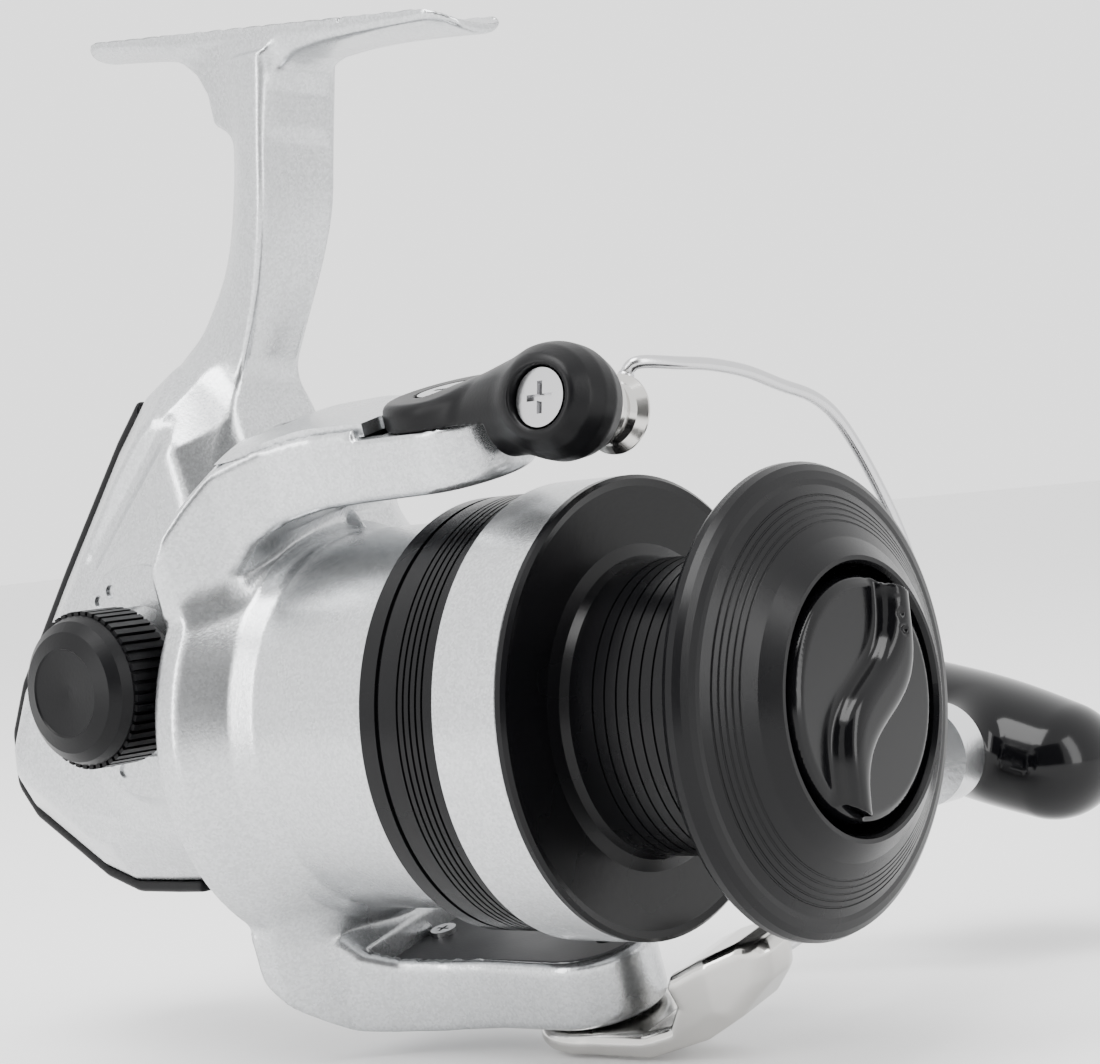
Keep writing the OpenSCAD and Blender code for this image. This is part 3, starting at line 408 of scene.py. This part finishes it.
def hollow_field(x, y, z):
    h = np.maximum(case_field(x, y, z) + 2.3, 57 - y)
    h = np.maximum(h, -posts(x, y, z))
    rad = np.sqrt(x * x + z * z)
    axle = np.sqrt((y - AXLE_Y) ** 2 + (z - AXLE_Z) ** 2)
    h = np.minimum(h, np.maximum(axle - 6.5, np.abs(x) - 16.6))
    h = np.minimum(h, axle - 4.6)
    h = np.minimum(h, np.maximum(rad - 23, np.maximum(52.2 - y, np.where(x < 9, y - 61.5, y - 58))))
    gear = np.maximum(axle - 17.9, np.maximum(np.abs(x + 5.0) - 5.5, 52.6 - y))
    h = np.minimum(h, gear)
    return h


def hub_field(x, y, z):
    rad = np.sqrt(x * x + z * z)
    d = disc(25.2, 50, 54.4, rad, y, 0.8)
    d = smin(d, np.maximum(rad - (27.6 - np.maximum(y - 61.5, 0) * 0.9), np.maximum(54.2 - y, y - 64.4)), 0.8)
    boss = np.sqrt((y - AXLE_Y) ** 2 + (z - AXLE_Z) ** 2) - 15.8
    d = np.maximum(d, -np.maximum(boss, x + 19.2))
    d = np.maximum(d, -np.maximum(9.5 - x, 58.8 - y))
    return np.minimum(d, disc(13, 37.4, 50.4, rad, y, 0.4))


def hub_bores(x, y, z):
    rad = np.sqrt(x * x + z * z)
    d = np.maximum(rad - 11.5, y - 44.7)
    d = np.minimum(d, np.maximum(rad - 9.0, y - 50.4))
    d = np.minimum(d, np.maximum(rad - 6.4, y - 63))
    guide = np.sqrt((x + 3.2) ** 2 + (z + 9.6) ** 2) - 1.27
    return np.minimum(d, np.maximum(guide, y - 106))


def body_field(x, y, z):
    d = np.maximum(shell_field(x, y, z), x - 9.5)
    upper = smin(smin(case_field(x, y, z), stem_field(x, y, z), 6.0), foot_field(x, y, z), 3.2)
    d = np.minimum(d, np.maximum(upper, 50 - z))
    d = smin(d, hub_field(x, y, z), 1.0)
    d = np.maximum(d, -hollow_field(x, y, z))
    return np.maximum(d, -hub_bores(x, y, z))


def cover_field(x, y, z):
    d = np.maximum(shell_field(x, y, z), np.maximum(9.56 - x, np.maximum(57.05 - y, z - 50)))
    rad = np.sqrt(x * x + z * z)
    d = np.maximum(d, -np.maximum(rad - 28.0, y - 58.9))
    d = np.maximum(d, -hollow_field(x, y, z))
    for py, pz in ((65, 37), (98.5, 11.5), (64, -14.5), (106, -4)):
        hole = np.sqrt((y - py) ** 2 + (z - pz) ** 2)
        d = np.maximum(d, -np.maximum(hole - 2.3, 10.9 - x))
        d = np.maximum(d, 1.15 - hole)
    return d


def bumper_field(x, y, z):
    out = round_poly(y, z, CASE, 2.5)
    band = smax(out - 1.65, np.abs(x) - 7.2, 0.9)
    d = np.maximum(band, -out + 0.02)
    keep = poly(y, z, [(40, -60), (40, 80), (76, 80), (80.5, 46), (79, 36), (78, -10), (74, -60)])
    return smax(d, -keep, 0.6)


SILVER = MAT["silver_paint"]
body = skin("body_shell", body_field, (-21, 14, -27), (30, 119, 101), 0.44, SILVER)
stand_in(body, "housing", "silver_paint", "body")
cover = skin("cover_shell", cover_field, (8, 55, -26), (23, 117, 53), 0.5, SILVER)
stand_in(cover, "housing", "silver_paint", "side_cover")
bumper = skin("tail_bumper", bumper_field, (-9, 70, -27), (9, 118, 54), 0.4, MAT["black_plastic"])
stand_in(bumper, "housing", "black_plastic", "rear_bumper")


# ---- rotor -----------------------------------------------------------------

PIVOT_Y = 20.3
ARM_HW = 9.0
DRUM_R = 25.4
RIM_R = 31.0
cosT, sinT = math.cos(TURN), math.sin(TURN)
TO_ROW = np.array([[cosT, 0, -sinT], [0, 1, 0], [sinT, 0, cosT]])
ARM_PLAN = [(-9, 20.3), (9, 20.3), (9, 31), (9.8, 37), (12, 43.5), (16, 49.5), (22.5, 54.5),
            (24, 57.5), (-24, 57.5), (-22.5, 54.5), (-16, 49.5), (-12, 43.5), (-9.8, 37), (-9, 31)]
ARM_SIDE = [(57.5, 22), (57.5, 35.6), (55.8, 38.6), (52, 40.9), (46, 41.6), (38, 41.5), (30, 41.1),
            (4, 40.9), (4, 31.8), (38, 31.2), (43.5, 30.4), (47.3, 28.4), (49.4, 25.5), (49.8, 22)]


def arm_plan_field(x, y):
    flare = poly(x, y, inset(ARM_PLAN, -5.0)) + 5.0
    return np.minimum(flare, np.sqrt(x * x + (y - PIVOT_Y) ** 2) - ARM_HW)


def rotor_field(x, y, z):
    rad = np.sqrt(x * x + z * z)
    drum = round_poly(rad, y, [(-9, 22.5), (DRUM_R, 22.5), (DRUM_R, 45), (26.6, 48.4), (28.8, 51),
                               (RIM_R - 0.4, 53.2), (RIM_R, 54), (RIM_R, 57.5), (-9, 57.5)], 0.6)
    plan = arm_plan_field(x, y)
    side = round_poly(y, np.abs(z), ARM_SIDE, 0.5)
    cap = round_poly(rad, y, [(-9, -9), (42.2, -9), (42.4, 40), (42, 50), (39.6, 54.6), (36.9, 57.5),
                              (-9, 57.5)], 3.0)
    arm = smax(smax(plan, side, 1.5), cap, 0.8)
    tip = np.where(z > 0, z - 39.6, -z - 41.1)
    arm = np.maximum(arm, np.where(y < 29.75, tip, -9.0))
    d = smin(drum, arm, 2.2)
    inner = poly(rad, y, [(-1, 0), (DRUM_R - 2, 0), (DRUM_R - 2, 33), (-1, 33)])
    bell = poly(rad, y, [(-1, 37), (DRUM_R - 2, 37), (DRUM_R - 2, 46.2), (26, 49.6), (26, 53),
                         (28.4, 54.2), (28.8, 60), (-1, 60)])
    d = smax(d, -inner, 0.5)
    d = smax(d, -bell, 0.4)
    d = np.maximum(d, 4.62 - rad)
    pocket = np.maximum(plan, np.maximum(24 - y, y - 51.5))
    spring = np.maximum(pocket + 2.6, np.maximum(34 - z, z - 50))
    bump = np.sqrt(x * x + (y - PIVOT_Y) ** 2) - 4.2
    for px, py in ((5.2, 32.2), (0, 50)):
        bump = np.minimum(bump, np.maximum(np.sqrt((x - px) ** 2 + (y - py) ** 2) - 1.9, z - 39.8))
    spring = np.maximum(spring, -bump)
    d = np.maximum(d, -spring)
    d = np.maximum(d, -np.maximum(pocket + 0.95, 39.8 - z))
    lower = np.maximum(plan, np.maximum(y - 48.9, PIVOT_Y - 6.5 - y))
    d = np.maximum(d, -np.maximum(lower + 1.4, np.maximum(26 + z, -z - 32.9)))
    weight = np.maximum(plan + 3.4, np.maximum(24 + 3.4 - y, y - 48.1))
    d = np.maximum(d, -np.maximum(weight, np.maximum(32 + z, -z - 38.6)))
    pin = np.sqrt(x * x + (y - PIVOT_Y) ** 2) - 2.02
    d = np.maximum(d, -np.maximum(pin, 33.4 - z))
    d = np.maximum(d, -np.maximum(pin, z + 34.2))
    return d


rotor = skin("rotor_casting", rotor_field, (-33, 8, -44), (33, 59, 44), 0.5, SILVER, TO_ROW)
stand_in(rotor, "rotor", "silver_paint", "rotor")


# ---- bail ------------------------------------------------------------------

ROLL_AT = np.array([2.2, -1.6, 37.4])
ROLL_TILT = math.radians(23)


def roller_coords(x, y, z):
    """Point in the roller's frame: along its axis, then the two across it."""
    c, s = math.cos(ROLL_TILT), math.sin(ROLL_TILT)
    dx, dy, dz = x - ROLL_AT[0], y - ROLL_AT[1], z - ROLL_AT[2]
    return dx * c - dz * s, dy, dx * s + dz * c


def roller_point(a, b, h):
    c, s = math.cos(ROLL_TILT), math.sin(ROLL_TILT)
    return (ROLL_AT[0] + a * c + h * s, ROLL_AT[1] + b, ROLL_AT[2] - a * s + h * c)


def bail_arm_field(x, y, z):
    rad = np.sqrt(x * x + (y - PIVOT_Y) ** 2)
    base = smax(smax(rad - 8.7, 39.75 - z, 0.3), z - 43.2 - 0.0 * rad, 1.6)
    neck = rod(x, y, z, (-2.2, 17.5, 38.6), roller_point(-7.2, 2.4, 0.8), 4.6, 6.5)
    a, b, h = roller_coords(x, y, z)
    rb = np.sqrt(b * b + h * h)
    bulb = round_poly(rb, a, [(-6, -12.4), (4.8, -12.4), (6.2, -10.2), (6.8, -8), (6.8, -6),
                              (6.1, -3.9), (5.2, -3.0), (-6, -3.0)], 0.9)
    d = smin(base, neck, 2.4)
    d = smin(d, bulb, 2.6)
    d = np.maximum(d, np.where((y > 8.1) & (np.abs(x) < 30), 39.75 - z, -9.0))
    d = smax(d, -np.maximum(rb - 3.9, a + 10.9), 0.4)
    d = np.maximum(d, 1.55 - np.maximum(rb, a + 0 * rb - 5))
    d = np.maximum(d, -np.maximum(rb - 5.6, -3.0 - a))
    d = np.maximum(d, 2.07 - rad)
    return np.maximum(d, -np.maximum(rad - 4.3, 41.6 - z))


LEVER_SIDE = [(29.2, -41.3), (29.2, -43.0), (27.5, -44.3), (8, -44.6), (0, -42.6), (-5.5, -39.6),
              (-9.4, -35.6), (-10.6, -31.6), (-9.4, -29.9), (-6.8, -29.9), (-1.5, -31.6),
              (2.6, -33.4), (3.4, -34.8), (2.6, -37.4), (4.2, -40.2), (8.6, -41.3)]
LEVER_PLAN = [(-8.7, 20.9), (8.7, 20.9), (7.6, 7), (5.8, -4), (4.4, -9), (2.6, -10.9),
              (-2.0, -10.9), (-4.6, -8.2), (-6.6, -3), (-8.2, 7)]


def bail_lever_field(x, y, z):
    rad = np.sqrt(x * x + (y - PIVOT_Y) ** 2)
    side = round_poly(y, z, LEVER_SIDE, 0.7)
    plan = smin(rad - 8.8, round_poly(x, y, LEVER_PLAN, 1.0), 0.6)
    d = smax(side, plan, 1.8)
    cut = round_poly(y, z, [(-7.6, -31.6), (0.6, -34.0), (0.9, -37.4), (-2.6, -39.2), (-6.4, -36.4)], 0.6)
    d = smax(d, -np.maximum(cut, np.abs(x + 0.5) - 3.7), 0.9)
    dish = rod(x, y, z, (-9.6, 5.0, -46.8), (-8.6, -3.4, -41.6), 3.2)
    d = smax(d, -dish, 1.0)
    d = np.maximum(d, 2.07 - rad)
    return np.maximum(d, -np.maximum(rad - 3.9, z + 43.3))


arm = skin("bail_arm_moulding", bail_arm_field, (-15, -12, 27), (14, 31, 50), 0.3,
           MAT["black_plastic"], TO_ROW)
stand_in(arm, "bail", "black_plastic", "bail_arm")
lever = skin("bail_lever_casting", bail_lever_field, (-11, -13, -48), (11, 31, -28), 0.3,
             MAT["nickel"], TO_ROW)
stand_in(lever, "bail", "nickel", "bail_lever")

WIRE = np.array([[8.3, -1.4, 39.9], [8.7, -2.0, 41.2], [10.0, -3.1, 41.5], [15, -4.8, 39.9],
                 [20, -5.9, 38.3], [25.8, -6.9, 35.8], [31.5, -7.8, 32.4], [36.2, -8.4, 29.8],
                 [39.6, -8.8, 26.8], [42.4, -9.1, 22.4], [45.2, -9.5, 15.6], [47.8, -9.8, 7.6],
                 [48.8, -10.0, 0], [48.3, -9.9, -8], [46.0, -9.5, -15.6], [42.7, -9.2, -22.2],
                 [38.8, -8.8, -27.7], [33.5, -8.0, -31.7], [25, -6.8, -34.0], [16, -5.9, -35.3],
                 [9, -5.6, -35.3], [6.3, -5.6, -35.0]])


def smooth_path(p, per):
    q = np.vstack([2 * p[0] - p[1], p, 2 * p[-1] - p[-2]])
    out = []
    for i in range(1, len(q) - 2):
        for t in np.arange(per) / per:
            a, b, c, d = q[i - 1], q[i], q[i + 1], q[i + 2]
            out.append(0.5 * (2 * b + (c - a) * t + (2 * a - 5 * b + 4 * c - d) * t * t
                              + (3 * b - a - 3 * c + d) * t ** 3))
    out.append(p[-1])
    return np.array(out)


def tube(name, path, radius, mat, sides=20, to_row=None):
    tang = np.gradient(path, axis=0)
    tang /= np.linalg.norm(tang, axis=1)[:, None]
    up = np.array([0.0, 1.0, 0.0])
    a = np.cross(tang, up)
    a /= np.linalg.norm(a, axis=1)[:, None]
    b = np.cross(tang, a)
    th = np.linspace(0, 2 * np.pi, sides, endpoint=False)
    r = np.broadcast_to(radius, len(path))[:, None, None]
    v = path[:, None] + r * (a[:, None] * np.cos(th)[None, :, None] + b[:, None] * np.sin(th)[None, :, None])
    v = v.reshape(-1, 3)
    n = len(path)
    v = np.vstack([v, path[0], path[-1]])
    if to_row is not None:
        v = v @ to_row.T
    v = (v + ORIGIN) / 1000.0
    faces = []
    for i in range(n - 1):
        for j in range(sides):
            k = (j + 1) % sides
            faces.append((i * sides + j, i * sides + k, (i + 1) * sides + k, (i + 1) * sides + j))
    for j in range(sides):
        k = (j + 1) % sides
        faces.append((n * sides, k, j))
        faces.append((n * sides + 1, (n - 1) * sides + j, (n - 1) * sides + k))
    me = bpy.data.meshes.new(name)
    me.from_pydata([tuple(p) for p in v], [], faces)
    me.validate()
    me.shade_smooth()
    ob = bpy.data.objects.new(name, me)
    bpy.context.scene.collection.objects.link(ob)
    me.materials.append(mat)
    return ob


path = smooth_path(WIRE, 8)
wire = tube("bail_wire_bend", path, 0.85, MAT["steel"], 20, TO_ROW)


def wire_foot_field(x, y, z):
    a, b, h = roller_coords(x, y, z)
    rb = np.sqrt(b * b + h * h)
    flat = disc(3.0, 3.2, 4.9, rb, a, 0.5)
    neck = rod(x, y, z, roller_point(4.3, 0.4, 2.0), (8.3, -1.4, 40.2), 1.1)
    d = smin(flat, neck, 1.0)
    return np.maximum(d, -np.maximum(rb - 1.3, -9))


wire_foot = skin("bail_wire_foot", wire_foot_field, (0, -7, 30), (13, 5, 46), 0.3, MAT["steel"], TO_ROW)
stand_in(wire, "bail", "steel", "bail_wire")
stand_in(wire_foot, "bail", "steel", "bail_wire")


# ---- drag knob and crank knob ----------------------------------------------



def drag_knob_field(x, y, z):
    rad = np.sqrt(x * x + z * z)
    cup = round_poly(rad, y, [(3.0, -28.6), (-6, -28.6), (-6, -31.5), (13.4, -31.5), (14.3, -31.1),
                              (14.7, -30.2), (14.7, -23.0), (14.2, -22.4), (13.0, -22.4),
                              (13.0, -28.6), (5.4, -28.6), (5.4, -24.2), (3.0, -24.2)], 0.25)
    c, s = math.cos(math.radians(28)), math.sin(math.radians(28))
    u, v = x * c - z * s, x * s + z * c
    swing = np.abs(u - 2.3 * np.sin(v * math.pi / 13.0)) - 3.1 - 0.7 * np.cos(v * math.pi / 13.0)
    wing = smax(swing * 0.8, -34.2 - y, 2.2)
    wing = np.maximum(wing, np.maximum(y + 30.0, rad - 13.9))
    d = smin(cup, wing, 1.2)
    for k in (-1, 0, 1):
        dot = np.sqrt((x - 5.0 - 0.4 * k) ** 2 + (z - 9.4 + 1.9 * k) ** 2 + (y + 34.3) ** 2) - 0.6
        d = np.maximum(d, -dot)
    return d


drag = skin("drag_knob_moulding", drag_knob_field, (-16, -36, -16), (16, -21, 16), 0.3,
            MAT["gloss_black"])
stand_in(drag, "dragknob", "gloss_black", "drag_knob")

CRANK_TILT = math.radians(17.7)


def crank_coords(x, y, z):
    """Point in the crank's frame: across the reel, then along the arm."""
    c, s = math.cos(CRANK_TILT), math.sin(CRANK_TILT)
    dy, dz = y - AXLE_Y, z - AXLE_Z
    return x, dy * c + dz * s, -dy * s + dz * c


def knob_field(x, y, z):
    a, b, h = crank_coords(x, y, z)
    b = b + 73.2
    e = np.maximum(np.abs(b) - 11.3, 0)
    waist = 1 + 0.05 * np.cos(np.clip(b / 20.0, -1, 1) * np.pi)
    d = (np.sqrt(((a - 80.6) / 1.28) ** 2 + e * e + h * h) - 8.7 * waist)
    neck = disc(6.0, 67.6, 76, np.sqrt(b * b + h * h), a, 0.8)
    d = smin(d, neck, 2.5)
    rb = np.sqrt(b * b + h * h)
    d = np.maximum(d, 2.57 - rb)
    return np.maximum(d, -np.maximum(rb - 4.3, 88.9 - a))


knob = skin("crank_knob_moulding", knob_field, (66, -22, -33), (94, 22, 4), 0.4, MAT["gloss_black"])
stand_in(knob, "knob", "gloss_black", "knob")


# ---- camera, light and floor -----------------------------------------------

scene = bpy.context.scene
cam_data = bpy.data.cameras.new("camera")
cam_data.lens = 90.0
cam_data.sensor_width = 36.0
cam_data.sensor_fit = "HORIZONTAL"
cam_data.clip_start, cam_data.clip_end = 0.02, 20.0
cam_data.dof.use_dof = False
cam = bpy.data.objects.new("camera", cam_data)
scene.collection.objects.link(cam)
look = Vector((0.77307, 0.63425, -0.00930)).normalized()
up = Vector((0.06946, -0.07007, 0.99512))
right = look.cross(up).normalized()
up = right.cross(look).normalized()
rot = Matrix((right, up, -look)).transposed()
cam.matrix_world = Matrix.Translation((-0.27076, -0.26029, -0.06675)) @ rot.to_4x4()
scene.camera = cam

world = bpy.data.worlds.new("studio")
scene.world = world
world.use_nodes = True
world.node_tree.nodes["Background"].inputs["Color"].default_value = (1.0, 1.0, 1.0, 1)
world.node_tree.nodes["Background"].inputs["Strength"].default_value = 2.0


def lamp(name, at, to, size, power, tall=None):
    data = bpy.data.lights.new(name, "AREA")
    data.shape = "RECTANGLE"
    data.size, data.size_y = size, tall or size
    data.energy = power
    ob = bpy.data.objects.new(name, data)
    scene.collection.objects.link(ob)
    ob.location = at
    ob.rotation_euler = (Vector(to) - Vector(at)).to_track_quat("-Z", "Y").to_euler()
    return ob


lamp("key", (-0.35, -0.05, 0.80), (0, 0, -0.08), 0.6, 12.0)
lamp("front_left", (-0.85, 0.20, 0.15), (0, 0, -0.08), 0.16, 5.0, 0.9)
lamp("front_right", (0.05, -0.90, 0.20), (0, 0, -0.1), 0.25, 5.0, 0.9)

floor_z = size_before[0][2] - 0.0002
fm = bpy.data.meshes.new("floor")
fm.from_pydata([(-6, -6, floor_z), (6, -6, floor_z), (6, 6, floor_z), (-6, 6, floor_z)], [], [(0, 1, 2, 3)])
floor = bpy.data.objects.new("floor", fm)
scene.collection.objects.link(floor)
floor_mat = material("floor_paper", (0.86, 0.86, 0.86), 0.7, bump=0.01, scale=300)
fm.materials.append(floor_mat)


def card(name, at, width, height, grey):
    """A flat grey card facing the reel, which keeps light off its front as a studio flag does."""
    at = Vector(at)
    back = Vector((at.x, at.y, 0)).normalized()
    side = Vector((-back.y, back.x, 0)) * width / 2
    rise = Vector((0, 0, height / 2))
    me = bpy.data.meshes.new(name)
    me.from_pydata([at - side - rise, at + side - rise, at + side + rise, at - side + rise], [],
                   [(0, 1, 2, 3)])
    ob = bpy.data.objects.new(name, me)
    scene.collection.objects.link(ob)
    me.materials.append(material(name + "_felt", (grey, grey, grey), 0.9, bump=0.01, scale=200))


card("flag_front", (-0.95, -0.85, 0.55), 1.5, 1.3, 0.05)
